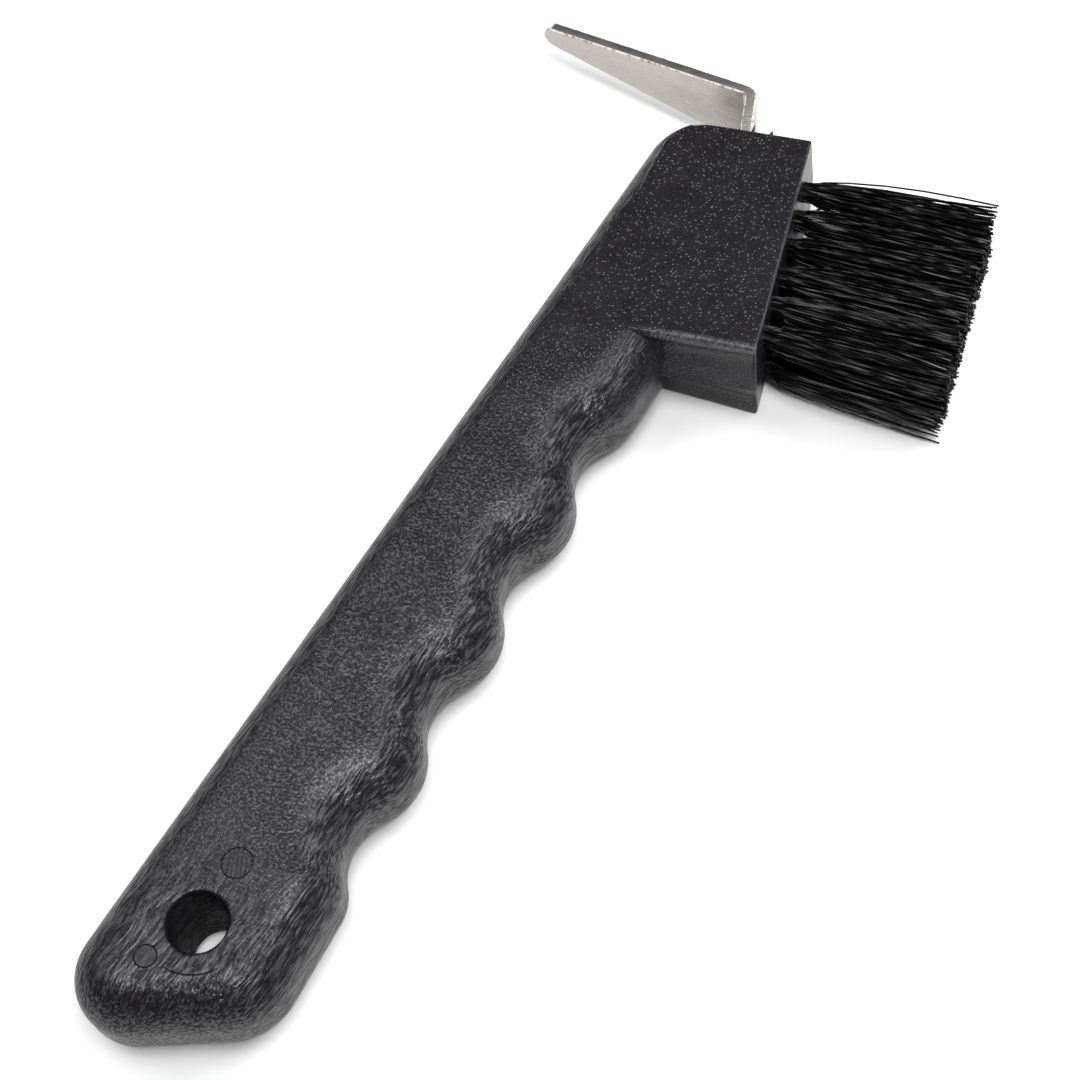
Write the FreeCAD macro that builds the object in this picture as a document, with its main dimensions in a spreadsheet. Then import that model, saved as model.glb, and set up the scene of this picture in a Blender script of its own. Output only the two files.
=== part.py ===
import FreeCAD, Part
import Sketcher
import math
import os
from FreeCAD import Placement, Rotation, Vector

# Hoof pick with a brush: a one-piece moulded plastic handle, a bent steel pick blade whose tang is
# moulded into the head, and bristle tufts that are folded over metal anchors in drilled holes.
# The origin is the middle of the hanging hole, at half thickness. +Y runs along the handle to the
# pick, +X is the finger and brush side, and +Z is the front. Millimetres and degrees.

doc = FreeCAD.newDocument("hoof_pick")

# ---------------------------------------------------------------------------------------------
# Driving dimensions
# ---------------------------------------------------------------------------------------------
SIZES = [
    # thickness of the moulding
    ("end_thickness", 15.8),      # across the handle at the hanging hole
    ("face_taper", 0.28),         # angle of the front face, and of the back face, to the parting plane
    ("side_round", 6.3),          # rounding of the grip's long edges
    # hanging end
    ("hole_radius", 4.0),
    ("hole_rim_round", 0.7),
    ("spine_offset", 13.3),      # hole axis to the straight back of the handle
    ("heel_left_radius", 8.1),
    ("heel_left_drop", 8.85),     # hole axis down to the centre of that corner
    ("heel_right_radius", 10.0),
    ("heel_right_x", 3.45),
    ("heel_right_drop", 1.15),
    ("palm_lean", 3.5),           # angle of the palm swell's side to the spine
    ("shoulder_radius", 7.0),
    ("shoulder_y", 11.0),
    # finger grip
    ("crest_radius", 9.6),
    ("valley_radius", 8.6),
    ("first_crest_x", 11.7),      # hole axis out to the top of the first crest
    ("first_crest_y", 31.5),
    ("finger_pitch", 22.0),
    ("crest_step", 1.23),         # how much nearer to the axis each next crest is
    ("neck_length", 8.27),        # last crest to the root of the brush block
    ("neck_lean", 2.0),
    # head and brush block
    ("face_lean", 16.0),          # turn of the brush face from the spine
    ("block_root_x", 2.88),
    ("block_reach", 18.86),       # root to the brush face, along the block's lower edge
    ("brush_face_length", 40.3),
    ("head_corner_radius", 8.0),
    ("inner_corner_radius", 7.0),
    ("root_overlap", 4.0),        # how far the block's lower side reaches back into the grip
    ("top_lean", 14.3),           # turn of the head's top edge
    ("block_corner_radius", 6.8),   # round corner of the block's crisp edge, at the spine
    ("parting_inset", 0.7),       # spine to the block's side at the parting plane
    ("edge_inset", 2.35),         # the same at the outer faces
    ("edge_fade", 16.0),          # length over which the crisp edge runs out along the spine
    ("back_root_rise", 1.95),     # how far the lower side is eased at the back, at its root
    ("lower_draft_step", 1.4),    # how far the parting line stands out of each side of the block
    ("face_draft_step", 0.3),
    # pick blade
    ("strip_thickness", 1.8),
    ("strip_width", 12.7),
    ("shank_angle", 112.0),
    ("shank_offset", 10.7),       # brush face to the shank's middle, at the head's top
    ("shank_height", 9.9),       # head's top to the bend's corner, along the shank
    ("bend_inner_radius", 0.8),
    ("arm_angle", 177.7),
    ("arm_length", 39.8),         # bend's corner to the tip
    ("tip_radius", 2.0),
    ("tang_depth", 22.0),
    ("lock_hole_radius", 2.5),
    ("lock_hole_depth", 12.0),
    # bristle tufts and their anchors
    ("tuft_hole_radius", 1.7),
    ("tuft_hole_depth", 6.0),
    ("tuft_clearance", 0.05),
    ("tuft_lip", 0.8),            # straight part of a tuft outside the face, before it leans
    ("tuft_length", 30.0),        # brush face to the bristle tips, in the first row
    ("last_tuft_length", 28.6),   # the same in the last row
    ("tuft_tip_radius", 2.3),
    ("row_pitch", 5.56),
    ("first_row", 7.0),           # top corner of the brush face to the first row
    ("column_spacing", 3.8),
    ("fan_top", 1.5),             # lean of the first row towards the pick
    ("fan_bottom", -10.0),        # lean of the last row towards the hanging end
    ("anchor_thickness", 0.5),
    ("anchor_height", 2.0),
    ("anchor_bite", 0.35),        # how far each end of an anchor cuts into the hole's wall
    ("anchor_seat", 1.0),         # hole bottom to the anchor
]
CREST_COUNT = 4
OUTER_ROWS = 6

sheet = doc.addObject("Spreadsheet::Sheet", "Sizes")
for line, (alias, size) in enumerate(SIZES, start=1):
    sheet.set(f"A{line}", alias)
    sheet.set(f"B{line}", str(size))
    sheet.setAlias(f"B{line}", alias)
doc.recompute()
size = {alias: float(sheet.get(alias)) for alias, _ in SIZES}


def polar(angle, length=1.0):
    """A vector in the XY plane, from its angle in degrees and its length."""
    turn = math.radians(angle)
    return Vector(length * math.cos(turn), length * math.sin(turn), 0)


def half_thickness(y):
    """Height of the front face over the parting plane, at a distance y from the hole axis."""
    return size["end_thickness"] / 2 + y * math.tan(math.radians(size["face_taper"]))


# Directions and corners of the head, in the parting plane. out_dir leaves the brush face square,
# and up_dir runs along the face towards the pick.
out_dir = polar(size["face_lean"])
up_dir = polar(size["face_lean"] + 90)
last_crest_y = size["first_crest_y"] + (CREST_COUNT - 1) * size["finger_pitch"]
block_root = Vector(size["block_root_x"], last_crest_y + size["neck_length"], 0)
face_bottom = block_root + out_dir * size["block_reach"]
face_top = face_bottom + up_dir * size["brush_face_length"]


# ---------------------------------------------------------------------------------------------
# Sketch helpers
# ---------------------------------------------------------------------------------------------
def origin_plane(body, role):
    """One of a body's own origin planes."""
    return next(part for part in body.Origin.OriginFeatures if part.Role == role)


def new_sketch(body, name, role="XY_Plane", offset=None):
    """A sketch on an origin plane of its body, moved from there by the offset."""
    sketch = body.newObject("Sketcher::SketchObject", name)
    sketch.AttachmentSupport = [(origin_plane(body, role), "")]
    sketch.MapMode = "FlatFace"
    if offset:
        sketch.AttachmentOffset = offset
    return sketch


def dimension(sketch, kind, where, start, name, expression):
    """A named dimension that follows an expression of the sheet's values."""
    index = sketch.addConstraint(Sketcher.Constraint(kind, *where, start))
    sketch.renameConstraint(index, name)
    sketch.setExpression(f"Constraints.{name}", expression)


def add_arc(sketch, center, radius, start, end):
    """A counter-clockwise arc between two angles in degrees."""
    circle = Part.Circle(center, Vector(0, 0, 1), radius)
    end = end + 360 if end < start else end
    return sketch.addGeometry(Part.ArcOfCircle(circle, math.radians(start), math.radians(end)))


def add_line(sketch, start, end):
    return sketch.addGeometry(Part.LineSegment(start, end))


def add_polygon(sketch, corners, arc_side=None, arc_center=None):
    """A closed polygon whose corners are fixed where they lie. One side can be an arc."""
    count = len(corners)
    edges = []
    for n, corner in enumerate(corners):
        if n == arc_side:
            start = corner - arc_center
            end = corners[n + 1] - arc_center
            edges.append(add_arc(sketch, arc_center, start.Length, angle_of(start) % 360, angle_of(end) % 360))
        else:
            edges.append(add_line(sketch, corner, corners[(n + 1) % count]))
    for n in range(count):
        sketch.addConstraint(Sketcher.Constraint("Coincident", edges[n], 2, edges[(n + 1) % count], 1))
    for edge, corner in zip(edges, corners):
        sketch.addConstraint(Sketcher.Constraint("DistanceX", -1, 1, edge, 1, corner.x))
        sketch.addConstraint(Sketcher.Constraint("DistanceY", -1, 1, edge, 1, corner.y))
    return edges


def angle_of(vector):
    return math.degrees(math.atan2(vector.y, vector.x))


def meet(point_a, dir_a, point_b, dir_b):
    """Where two straight lines cross."""
    cross = dir_a.x * dir_b.y - dir_a.y * dir_b.x
    gap = point_b - point_a
    return point_a + dir_a * ((gap.x * dir_b.y - gap.y * dir_b.x) / cross)


def circle_between(center_a, reach_a, center_b, reach_b):
    """Centre of a circle at given distances from two centres, on the right of the way from a to b."""
    way = center_b - center_a
    span = way.Length
    along = (span ** 2 + reach_a ** 2 - reach_b ** 2) / (2 * span)
    aside = math.sqrt(reach_a ** 2 - along ** 2)
    way.normalize()
    return center_a + way * along + Vector(way.y, -way.x, 0) * aside


# ---------------------------------------------------------------------------------------------
# Handle blank: the outline of the grip and head, padded and rounded, with the brush block
# ---------------------------------------------------------------------------------------------
blank = doc.addObject("PartDesign::Body", "HandleBlank")
outline = new_sketch(blank, "GripOutline")

heel_left = Vector(-size["spine_offset"] + size["heel_left_radius"], -size["heel_left_drop"], 0)
heel_right = Vector(size["heel_right_x"], -size["heel_right_drop"], 0)
heel_way = heel_right - heel_left
heel_angle = angle_of(heel_way) + math.degrees(
    math.asin((size["heel_left_radius"] - size["heel_right_radius"]) / heel_way.Length))
palm_normal = polar(size["palm_lean"])
palm_start = heel_right + palm_normal * size["heel_right_radius"]
palm_side = meet(palm_start, polar(90 + size["palm_lean"]),
                 Vector(0, size["shoulder_y"], 0) + palm_normal * size["shoulder_radius"], Vector(1, 0, 0))
shoulder = palm_side - palm_normal * size["shoulder_radius"]
crests = [
    Vector(size["first_crest_x"] - size["crest_radius"] - n * size["crest_step"],
           size["first_crest_y"] + n * size["finger_pitch"], 0)
    for n in range(CREST_COUNT)
]
# centre and radius of each outward arc that a finger valley lies between
swells = [(shoulder, size["shoulder_radius"])] + [(crest, size["crest_radius"]) for crest in crests]
valleys = [
    circle_between(low, low_radius + size["valley_radius"], high, high_radius + size["valley_radius"])
    for (low, low_radius), (high, high_radius) in zip(swells, swells[1:])
]
neck_normal = polar(size["neck_lean"])
neck_dir = polar(90 + size["neck_lean"])
neck_start = crests[-1] + neck_normal * size["crest_radius"]
inner_corner = meet(neck_start - neck_normal * size["inner_corner_radius"], neck_dir,
                    face_top - up_dir * size["inner_corner_radius"], out_dir)
head_corner = meet(Vector(-size["spine_offset"] + size["head_corner_radius"], 0, 0), Vector(0, 1, 0),
                   face_top - up_dir * size["head_corner_radius"], out_dir)

# The chain of lines and arcs runs counter-clockwise from the top of the spine. Each entry holds
# the curve's number and which of its ends comes first along the chain.
chain = []
spine_foot = heel_left - Vector(size["heel_left_radius"], 0, 0)
spine = add_line(outline, head_corner - Vector(size["head_corner_radius"], 0, 0), spine_foot)
chain.append((spine, 1))
left_arc = add_arc(outline, heel_left, size["heel_left_radius"], 180, 270 + heel_angle)
chain.append((left_arc, 1))
heel_normal = polar(270 + heel_angle)
heel_line = add_line(outline, heel_left + heel_normal * size["heel_left_radius"],
                     heel_right + heel_normal * size["heel_right_radius"])
chain.append((heel_line, 1))
right_arc = add_arc(outline, heel_right, size["heel_right_radius"], heel_angle - 90, size["palm_lean"])
chain.append((right_arc, 1))
palm_line = add_line(outline, palm_start, palm_side)
chain.append((palm_line, 1))
swell_arcs = []
valley_arcs = []
arrive = size["palm_lean"]
for number, (center, radius) in enumerate(swells):
    last = number == len(swells) - 1
    leave = size["neck_lean"] if last else angle_of(valleys[number] - center)
    swell_arcs.append(add_arc(outline, center, radius, arrive, leave))
    chain.append((swell_arcs[-1], 1))
    if not last:
        valley = valleys[number]
        next_center = swells[number + 1][0]
        low_angle = angle_of(center - valley) % 360
        high_angle = angle_of(next_center - valley) % 360
        valley_arcs.append(add_arc(outline, valley, size["valley_radius"], high_angle, low_angle))
        chain.append((valley_arcs[-1], 2))
        arrive = angle_of(valley - next_center)
neck_line = add_line(outline, neck_start, inner_corner + neck_normal * size["inner_corner_radius"])
chain.append((neck_line, 1))
inner_arc = add_arc(outline, inner_corner, size["inner_corner_radius"], size["neck_lean"], size["face_lean"] + 90)
chain.append((inner_arc, 1))
top_line = add_line(outline, head_corner + up_dir * size["head_corner_radius"],
                    inner_corner + up_dir * size["inner_corner_radius"])
chain.append((top_line, 2))
head_arc = add_arc(outline, head_corner, size["head_corner_radius"], size["face_lean"] + 90, 180)
chain.append((head_arc, 1))

for (this_curve, this_start), (next_curve, next_start) in zip(chain, chain[1:] + chain[:1]):
    outline.addConstraint(Sketcher.Constraint("Tangent", this_curve, 3 - this_start, next_curve, next_start))

outline.addConstraint(Sketcher.Constraint("Vertical", spine))
dimension(outline, "DistanceX", (-1, 1, spine, 2), -size["spine_offset"], "spine_offset", "-Sizes.spine_offset")
dimension(outline, "Radius", (left_arc,), size["heel_left_radius"], "heel_left_radius", "Sizes.heel_left_radius")
dimension(outline, "DistanceY", (-1, 1, left_arc, 3), heel_left.y, "heel_left_y", "-Sizes.heel_left_drop")
dimension(outline, "Radius", (right_arc,), size["heel_right_radius"], "heel_right_radius", "Sizes.heel_right_radius")
dimension(outline, "DistanceX", (-1, 1, right_arc, 3), heel_right.x, "heel_right_x", "Sizes.heel_right_x")
dimension(outline, "DistanceY", (-1, 1, right_arc, 3), heel_right.y, "heel_right_y", "-Sizes.heel_right_drop")
dimension(outline, "Angle", (palm_line,), math.radians(90 + size["palm_lean"]), "palm_angle",
          "(90 + Sizes.palm_lean) * 1 deg")
dimension(outline, "Radius", (swell_arcs[0],), size["shoulder_radius"], "shoulder_radius", "Sizes.shoulder_radius")
dimension(outline, "DistanceY", (-1, 1, swell_arcs[0], 3), shoulder.y, "shoulder_y", "Sizes.shoulder_y")
for number, (arc, crest) in enumerate(zip(swell_arcs[1:], crests)):
    dimension(outline, "Radius", (arc,), size["crest_radius"], f"crest_radius_{number}", "Sizes.crest_radius")
    dimension(outline, "DistanceX", (-1, 1, arc, 3), crest.x, f"crest_x_{number}",
              f"Sizes.first_crest_x - Sizes.crest_radius - {number} * Sizes.crest_step")
    dimension(outline, "DistanceY", (-1, 1, arc, 3), crest.y, f"crest_y_{number}",
              f"Sizes.first_crest_y + {number} * Sizes.finger_pitch")
for number, arc in enumerate(valley_arcs):
    dimension(outline, "Radius", (arc,), size["valley_radius"], f"valley_radius_{number}", "Sizes.valley_radius")
dimension(outline, "Angle", (neck_line,), math.radians(90 + size["neck_lean"]), "neck_angle",
          "(90 + Sizes.neck_lean) * 1 deg")
dimension(outline, "Radius", (inner_arc,), size["inner_corner_radius"], "inner_corner", "Sizes.inner_corner_radius")
dimension(outline, "Radius", (head_arc,), size["head_corner_radius"], "head_corner", "Sizes.head_corner_radius")
dimension(outline, "Angle", (top_line,), math.radians(size["face_lean"]), "top_angle", "Sizes.face_lean * 1 deg")
head_corner_height = (
    "Sizes.first_crest_y + {steps} * Sizes.finger_pitch + Sizes.neck_length"
    " + Sizes.block_reach * sin(Sizes.face_lean * 1 deg)"
    " + (Sizes.brush_face_length - Sizes.head_corner_radius) * cos(Sizes.face_lean * 1 deg)"
    " - tan(Sizes.face_lean * 1 deg) * (Sizes.block_root_x + Sizes.block_reach * cos(Sizes.face_lean * 1 deg)"
    " - (Sizes.brush_face_length - Sizes.head_corner_radius) * sin(Sizes.face_lean * 1 deg)"
    " + Sizes.spine_offset - Sizes.head_corner_radius)"
).format(steps=CREST_COUNT - 1)
dimension(outline, "DistanceY", (-1, 1, head_arc, 3), head_corner.y, "head_corner_y", head_corner_height)
doc.recompute()

# The pad is thick enough for the head, and two wedges give the front and back faces their taper.
spread = 3 * size["spine_offset"]
low_y = heel_left.y - size["heel_left_radius"] - spread
high_y = face_top.y + spread
pad = blank.newObject("PartDesign::Pad", "GripPad")
pad.Profile = outline
pad.Midplane = True
pad.setExpression("Length", f"Sizes.end_thickness + 2 * {high_y} * tan(Sizes.face_taper * 1 deg)")
wedges = new_sketch(blank, "FaceTaper", "YZ_Plane")
for side in (1, -1):
    add_polygon(wedges, [
        Vector(low_y, side * half_thickness(low_y), 0),
        Vector(high_y, side * half_thickness(high_y), 0),
        Vector(high_y, side * (half_thickness(high_y) + spread), 0),
        Vector(low_y, side * (half_thickness(high_y) + spread), 0),
    ])
taper = blank.newObject("PartDesign::Pocket", "FaceTaperCut")
taper.Profile = wedges
taper.Type = "ThroughAll"
taper.Midplane = True
doc.recompute()


def lies_on_front_or_back(edge):
    """Whether an edge lies on one of the two tapered faces."""
    return all(abs(abs(v.Z) - half_thickness(v.Y)) < 1e-4 for v in edge.Vertexes)


rounding = blank.newObject("PartDesign::Fillet", "GripRounding")
rounding.Base = (taper, [
    f"Edge{n}" for n, edge in enumerate(taper.Shape.Edges, start=1) if lies_on_front_or_back(edge)
])
rounding.setExpression("Radius", "Sizes.side_round")


def block_section(height_share):
    """Corners of the brush block at a height: 0 at the parting plane, 1 or -1 at the outer faces.

    The fourth side is the arc round the head's corner, and its centre comes second.
    """
    flare = 1 - abs(height_share)
    low = up_dir * (-size["lower_draft_step"] * flare)
    out = out_dir * (size["face_draft_step"] * flare)
    top_dir = polar(size["top_lean"])
    top_normal = polar(size["top_lean"] + 90)
    top_corner = face_top + out + up_dir * (size["face_draft_step"] * flare)
    inset = size["edge_inset"] + (size["parting_inset"] - size["edge_inset"]) * flare
    radius = size["block_corner_radius"]
    arc_center = meet(Vector(inset + radius - size["spine_offset"], 0, 0), Vector(0, 1, 0),
                      top_corner - top_normal * radius, top_dir)
    arc_end = arc_center - Vector(radius, 0, 0)
    rise = size["back_root_rise"] / size["block_reach"] if height_share < 0 else 0
    corners = [
        block_root - out_dir * size["root_overlap"] + low + up_dir * rise * (size["block_reach"] + size["root_overlap"]),
        face_bottom + out + low,
        top_corner,
        arc_center + top_normal * radius,
        arc_end,
        Vector(size["side_round"] - size["spine_offset"] + 0.5, arc_end.y - size["edge_fade"], 0),
    ]
    return corners, arc_center


sections = []
for name, share in (("BlockBack", -1), ("BlockParting", 0), ("BlockFront", 1)):
    tilt = Rotation(Vector(1, 0, 0), share * size["face_taper"])
    offset = Placement(Vector(0, 0, share * size["end_thickness"] / 2), tilt)
    section = new_sketch(blank, name, offset=offset)
    corners, arc_center = block_section(share)
    add_polygon(section, corners, 3, arc_center)
    dimension(section, "Radius", (3,), size["block_corner_radius"], "corner", "Sizes.block_corner_radius")
    sections.append(section)
block = blank.newObject("PartDesign::AdditiveLoft", "BrushBlock")
block.Profile = sections[0]
block.Sections = sections[1:]
block.Ruled = True
blank.Tip = block

# The hanging hole, with its rim rounded on both faces.
hole_sketch = new_sketch(blank, "HoleCircle")
hole_circle = hole_sketch.addGeometry(Part.Circle(Vector(), Vector(0, 0, 1), size["hole_radius"]))
hole_sketch.addConstraint(Sketcher.Constraint("Coincident", hole_circle, 3, -1, 1))
dimension(hole_sketch, "Radius", (hole_circle,), size["hole_radius"], "hole_radius", "Sizes.hole_radius")
hole = blank.newObject("PartDesign::Pocket", "HangHole")
hole.Profile = hole_sketch
hole.Type = "ThroughAll"
hole.Midplane = True
doc.recompute()


def is_hole_rim(edge):
    """Whether an edge is where the hanging hole meets the front or the back face."""
    box = edge.BoundBox
    reach = max(abs(box.XMin), abs(box.XMax), abs(box.YMin), abs(box.YMax))
    return reach < 1.01 * size["hole_radius"] and box.ZLength < size["hole_rim_round"]


rim = blank.newObject("PartDesign::Fillet", "HoleRim")
rim.Base = (hole, [f"Edge{n}" for n, edge in enumerate(hole.Shape.Edges, start=1) if is_hole_rim(edge)])
rim.setExpression("Radius", "Sizes.hole_rim_round")
doc.recompute()


# ---------------------------------------------------------------------------------------------
# Pick blade: a steel strip, bent at the end of its shank, with a tapered arm and a tang
# ---------------------------------------------------------------------------------------------
shank_dir = polar(size["shank_angle"])
arm_dir = polar(size["arm_angle"])
shank_foot = face_top - out_dir * size["shank_offset"]
bend_corner = shank_foot + shank_dir * size["shank_height"]
tang_end = shank_foot - shank_dir * size["tang_depth"]
arm_tip = bend_corner + arm_dir * size["arm_length"]
half_strip = size["strip_thickness"] / 2
bend_radius = size["bend_inner_radius"] + half_strip

strip = doc.addObject("PartDesign::Body", "BladeStrip")
path = new_sketch(strip, "StripSide")


def strip_edge(aside, radius):
    """Corner points of one side of the bent strip, and its bend's arc, aside of the middle line."""
    shank_aside = Vector(shank_dir.y, -shank_dir.x, 0) * aside
    arm_aside = Vector(arm_dir.y, -arm_dir.x, 0) * aside
    corner = meet(tang_end + shank_aside, shank_dir, arm_tip + arm_aside, arm_dir)
    half_turn = math.radians(size["arm_angle"] - size["shank_angle"]) / 2
    tangent = radius * math.tan(half_turn)
    return (tang_end + shank_aside, corner - shank_dir * tangent,
            corner + arm_dir * tangent, arm_tip + arm_aside)


outer_radius = bend_radius + half_strip
outer_points = strip_edge(half_strip, outer_radius)
inner_points = strip_edge(-half_strip, size["bend_inner_radius"])
bend_center = outer_points[1] - Vector(shank_dir.y, -shank_dir.x, 0) * outer_radius
bend_angles = (size["shank_angle"] - 90, size["arm_angle"] - 90)
strip_chain = [
    (add_line(path, outer_points[0], outer_points[1]), 1),
    (add_arc(path, bend_center, outer_radius, *bend_angles), 1),
    (add_line(path, outer_points[2], outer_points[3]), 1),
    (add_line(path, outer_points[3], inner_points[3]), 1),
    (add_line(path, inner_points[3], inner_points[2]), 1),
    (add_arc(path, bend_center, size["bend_inner_radius"], *bend_angles), 2),
    (add_line(path, inner_points[1], inner_points[0]), 1),
    (add_line(path, inner_points[0], outer_points[0]), 1),
]
for (this_curve, this_start), (next_curve, next_start) in zip(strip_chain, strip_chain[1:] + strip_chain[:1]):
    path.addConstraint(Sketcher.Constraint("Coincident", this_curve, 3 - this_start, next_curve, next_start))
path.addConstraint(Sketcher.Constraint("Block", strip_chain[0][0]))
dimension(path, "Radius", (strip_chain[1][0],), outer_radius, "outer_bend",
          "Sizes.bend_inner_radius + Sizes.strip_thickness")
dimension(path, "Radius", (strip_chain[5][0],), size["bend_inner_radius"], "inner_bend", "Sizes.bend_inner_radius")
strip_pad = strip.newObject("PartDesign::Pad", "StripPad")
strip_pad.Profile = path
strip_pad.Midplane = True
strip_pad.setExpression("Length", "Sizes.strip_width")

# The plan outline of the blade: full width at the bend, narrowing along the arm to a round tip.
plan = new_sketch(strip, "ArmTaper", "XZ_Plane")
half_width = size["strip_width"] / 2
tip_center_x = arm_tip.x + size["tip_radius"]
taper_run = outer_points[2].x - tip_center_x
taper_angle = math.degrees(math.atan2(half_width - size["tip_radius"], taper_run))
touch = polar(90 + taper_angle, size["tip_radius"]) + Vector(tip_center_x, 0, 0)
beyond = half_width + size["tip_radius"]
for side in (1, -1):
    start, end = (90 + taper_angle, 180) if side == 1 else (180, 270 - taper_angle)
    tip_arc = add_arc(plan, Vector(tip_center_x, 0, 0), size["tip_radius"], start, end)
    corners = [
        Vector(touch.x, side * touch.y, 0),
        Vector(outer_points[2].x, side * half_width, 0),
        Vector(outer_points[2].x, side * beyond, 0),
        Vector(arm_tip.x - beyond, side * beyond, 0),
        Vector(arm_tip.x - beyond, 0, 0),
        Vector(arm_tip.x, 0, 0),
    ]
    edges = [add_line(plan, a, b) for a, b in zip(corners, corners[1:])]
    ends = (1, 2) if side == 1 else (2, 1)
    plan.addConstraint(Sketcher.Constraint("Coincident", tip_arc, ends[0], edges[0], 1))
    plan.addConstraint(Sketcher.Constraint("Coincident", tip_arc, ends[1], edges[-1], 2))
    for edge, following in zip(edges, edges[1:]):
        plan.addConstraint(Sketcher.Constraint("Coincident", edge, 2, following, 1))
    dimension(plan, "Radius", (tip_arc,), size["tip_radius"], f"tip_radius_{len(plan.Constraints)}",
              "Sizes.tip_radius")
arm_taper = strip.newObject("PartDesign::Pocket", "ArmTaperCut")
arm_taper.Profile = plan
arm_taper.Type = "ThroughAll"
arm_taper.Midplane = True
doc.recompute()

# The tang's hole, which the plastic of the handle runs through.
lock_hole = doc.addObject("Part::Cylinder", "LockHole")
lock_hole.setExpression("Radius", "Sizes.lock_hole_radius")
lock_hole.setExpression("Height", "2 * Sizes.strip_thickness")
lock_dir = Vector(shank_dir.y, -shank_dir.x, 0)
lock_center = shank_foot - shank_dir * size["lock_hole_depth"]
lock_hole.Placement = Placement(lock_center - lock_dir * size["strip_thickness"],
                                Rotation(Vector(0, 0, 1), lock_dir))
blade = doc.addObject("Part::Cut", "Blade")
blade.Base = strip
blade.Tool = lock_hole
blade.Label = "pick_blade"


# ---------------------------------------------------------------------------------------------
# Bristle tufts and anchors, row by row down the brush face
# ---------------------------------------------------------------------------------------------
def tuft_places():
    """Row, column, distance down the face, height, and share of the way to the last row, of each tuft."""
    span = (OUTER_ROWS - 1) * size["row_pitch"]
    for column, height in enumerate((size["column_spacing"], 0.0, -size["column_spacing"]), start=1):
        inner = column == 2
        for row in range(OUTER_ROWS - 1 if inner else OUTER_ROWS):
            run = (row + (0.5 if inner else 0.0)) * size["row_pitch"]
            yield row + 1, column, size["first_row"] + run, height, run / span


def along(axis):
    """A turn that brings the Z direction onto an axis in the XY plane, with Y kept along the thickness."""
    side = Vector(0, 0, 1)
    return Rotation(side.cross(axis), side, axis, "ZYX")


hole_tools = []
anchors = []
tufts = []
for row, column, down, height, share in tuft_places():
    place = f"r{row}_c{column}"
    mouth = face_top - up_dir * down + Vector(0, 0, height)
    square = along(out_dir)

    drill = doc.addObject("Part::Cylinder", f"Drill_{place}")
    drill.setExpression("Radius", "Sizes.tuft_hole_radius")
    drill.setExpression("Height", "2 * Sizes.tuft_hole_depth")
    drill.Placement = Placement(mouth - out_dir * size["tuft_hole_depth"], square)
    hole_tools.append(drill)

    anchor = doc.addObject("Part::Box", f"Anchor_{place}")
    anchor.setExpression("Length", "Sizes.anchor_thickness")
    anchor.setExpression("Width", "2 * (Sizes.tuft_hole_radius + Sizes.anchor_bite)")
    anchor.setExpression("Height", "Sizes.anchor_height")
    anchor_middle = Vector(size["anchor_thickness"] / 2, size["tuft_hole_radius"] + size["anchor_bite"], 0)
    anchor_base = mouth - out_dir * (size["tuft_hole_depth"] - size["anchor_seat"])
    anchor.Placement = Placement(anchor_base - square.multVec(anchor_middle), square)
    anchor.Label = f"anchor_{place}"
    anchors.append(anchor)

    stem = doc.addObject("Part::Cylinder", f"Stem_{place}")
    stem.setExpression("Radius", "Sizes.tuft_hole_radius - Sizes.tuft_clearance")
    stem.setExpression("Height", "Sizes.tuft_hole_depth - Sizes.tuft_clearance + Sizes.tuft_lip")
    stem.Placement = Placement(mouth - out_dir * (size["tuft_hole_depth"] - size["tuft_clearance"]), square)
    brush = doc.addObject("Part::Cone", f"Brush_{place}")
    brush.setExpression("Radius1", "Sizes.tuft_hole_radius - Sizes.tuft_clearance")
    brush.setExpression("Radius2", "Sizes.tuft_tip_radius")
    brush.setExpression("Height", f"Sizes.tuft_length - {share} * (Sizes.tuft_length - Sizes.last_tuft_length)"
                        " - Sizes.tuft_lip")
    lean = size["fan_top"] + (size["fan_bottom"] - size["fan_top"]) * share ** 2
    brush_dir = polar(size["face_lean"] + lean)
    brush.Placement = Placement(mouth + out_dir * size["tuft_lip"], along(brush_dir))
    whole = doc.addObject("Part::Fuse", f"TuftWhole_{place}")
    whole.Base = stem
    whole.Tool = brush
    tuft = doc.addObject("Part::Cut", f"Tuft_{place}")
    tuft.Base = whole
    tuft.Tool = anchor
    tuft.Label = f"tuft_{place}"
    tufts.append(tuft)


# ---------------------------------------------------------------------------------------------
# Handle: the blank, drilled for the tufts and moulded round the anchors and the tang
# ---------------------------------------------------------------------------------------------
drills = doc.addObject("Part::Compound", "Drills")
drills.Links = hole_tools
drilled = doc.addObject("Part::Cut", "DrilledHandle")
drilled.Base = blank
drilled.Tool = drills
bites = doc.addObject("Part::Compound", "AnchorBites")
bites.Links = anchors
bitten = doc.addObject("Part::Cut", "BittenHandle")
bitten.Base = drilled
bitten.Tool = bites
handle = doc.addObject("Part::Cut", "Handle")
handle.Base = bitten
handle.Tool = blade
handle.Label = "handle"
doc.recompute()

# ---------------------------------------------------------------------------------------------
# Checks and output
# ---------------------------------------------------------------------------------------------
for item in doc.Objects:
    if "Invalid" in item.State or "Error" in item.State:
        raise RuntimeError(f"{item.Name} failed: {item.State}")
for sketch in (outline, wedges, hole_sketch, *sections):
    if not sketch.FullyConstrained:
        raise RuntimeError(f"{sketch.Name} is not fully constrained")
if not handle.Shape.Volume < bitten.Shape.Volume < drilled.Shape.Volume < blank.Shape.Volume:
    raise RuntimeError("a cut in the handle removed nothing")

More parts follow.
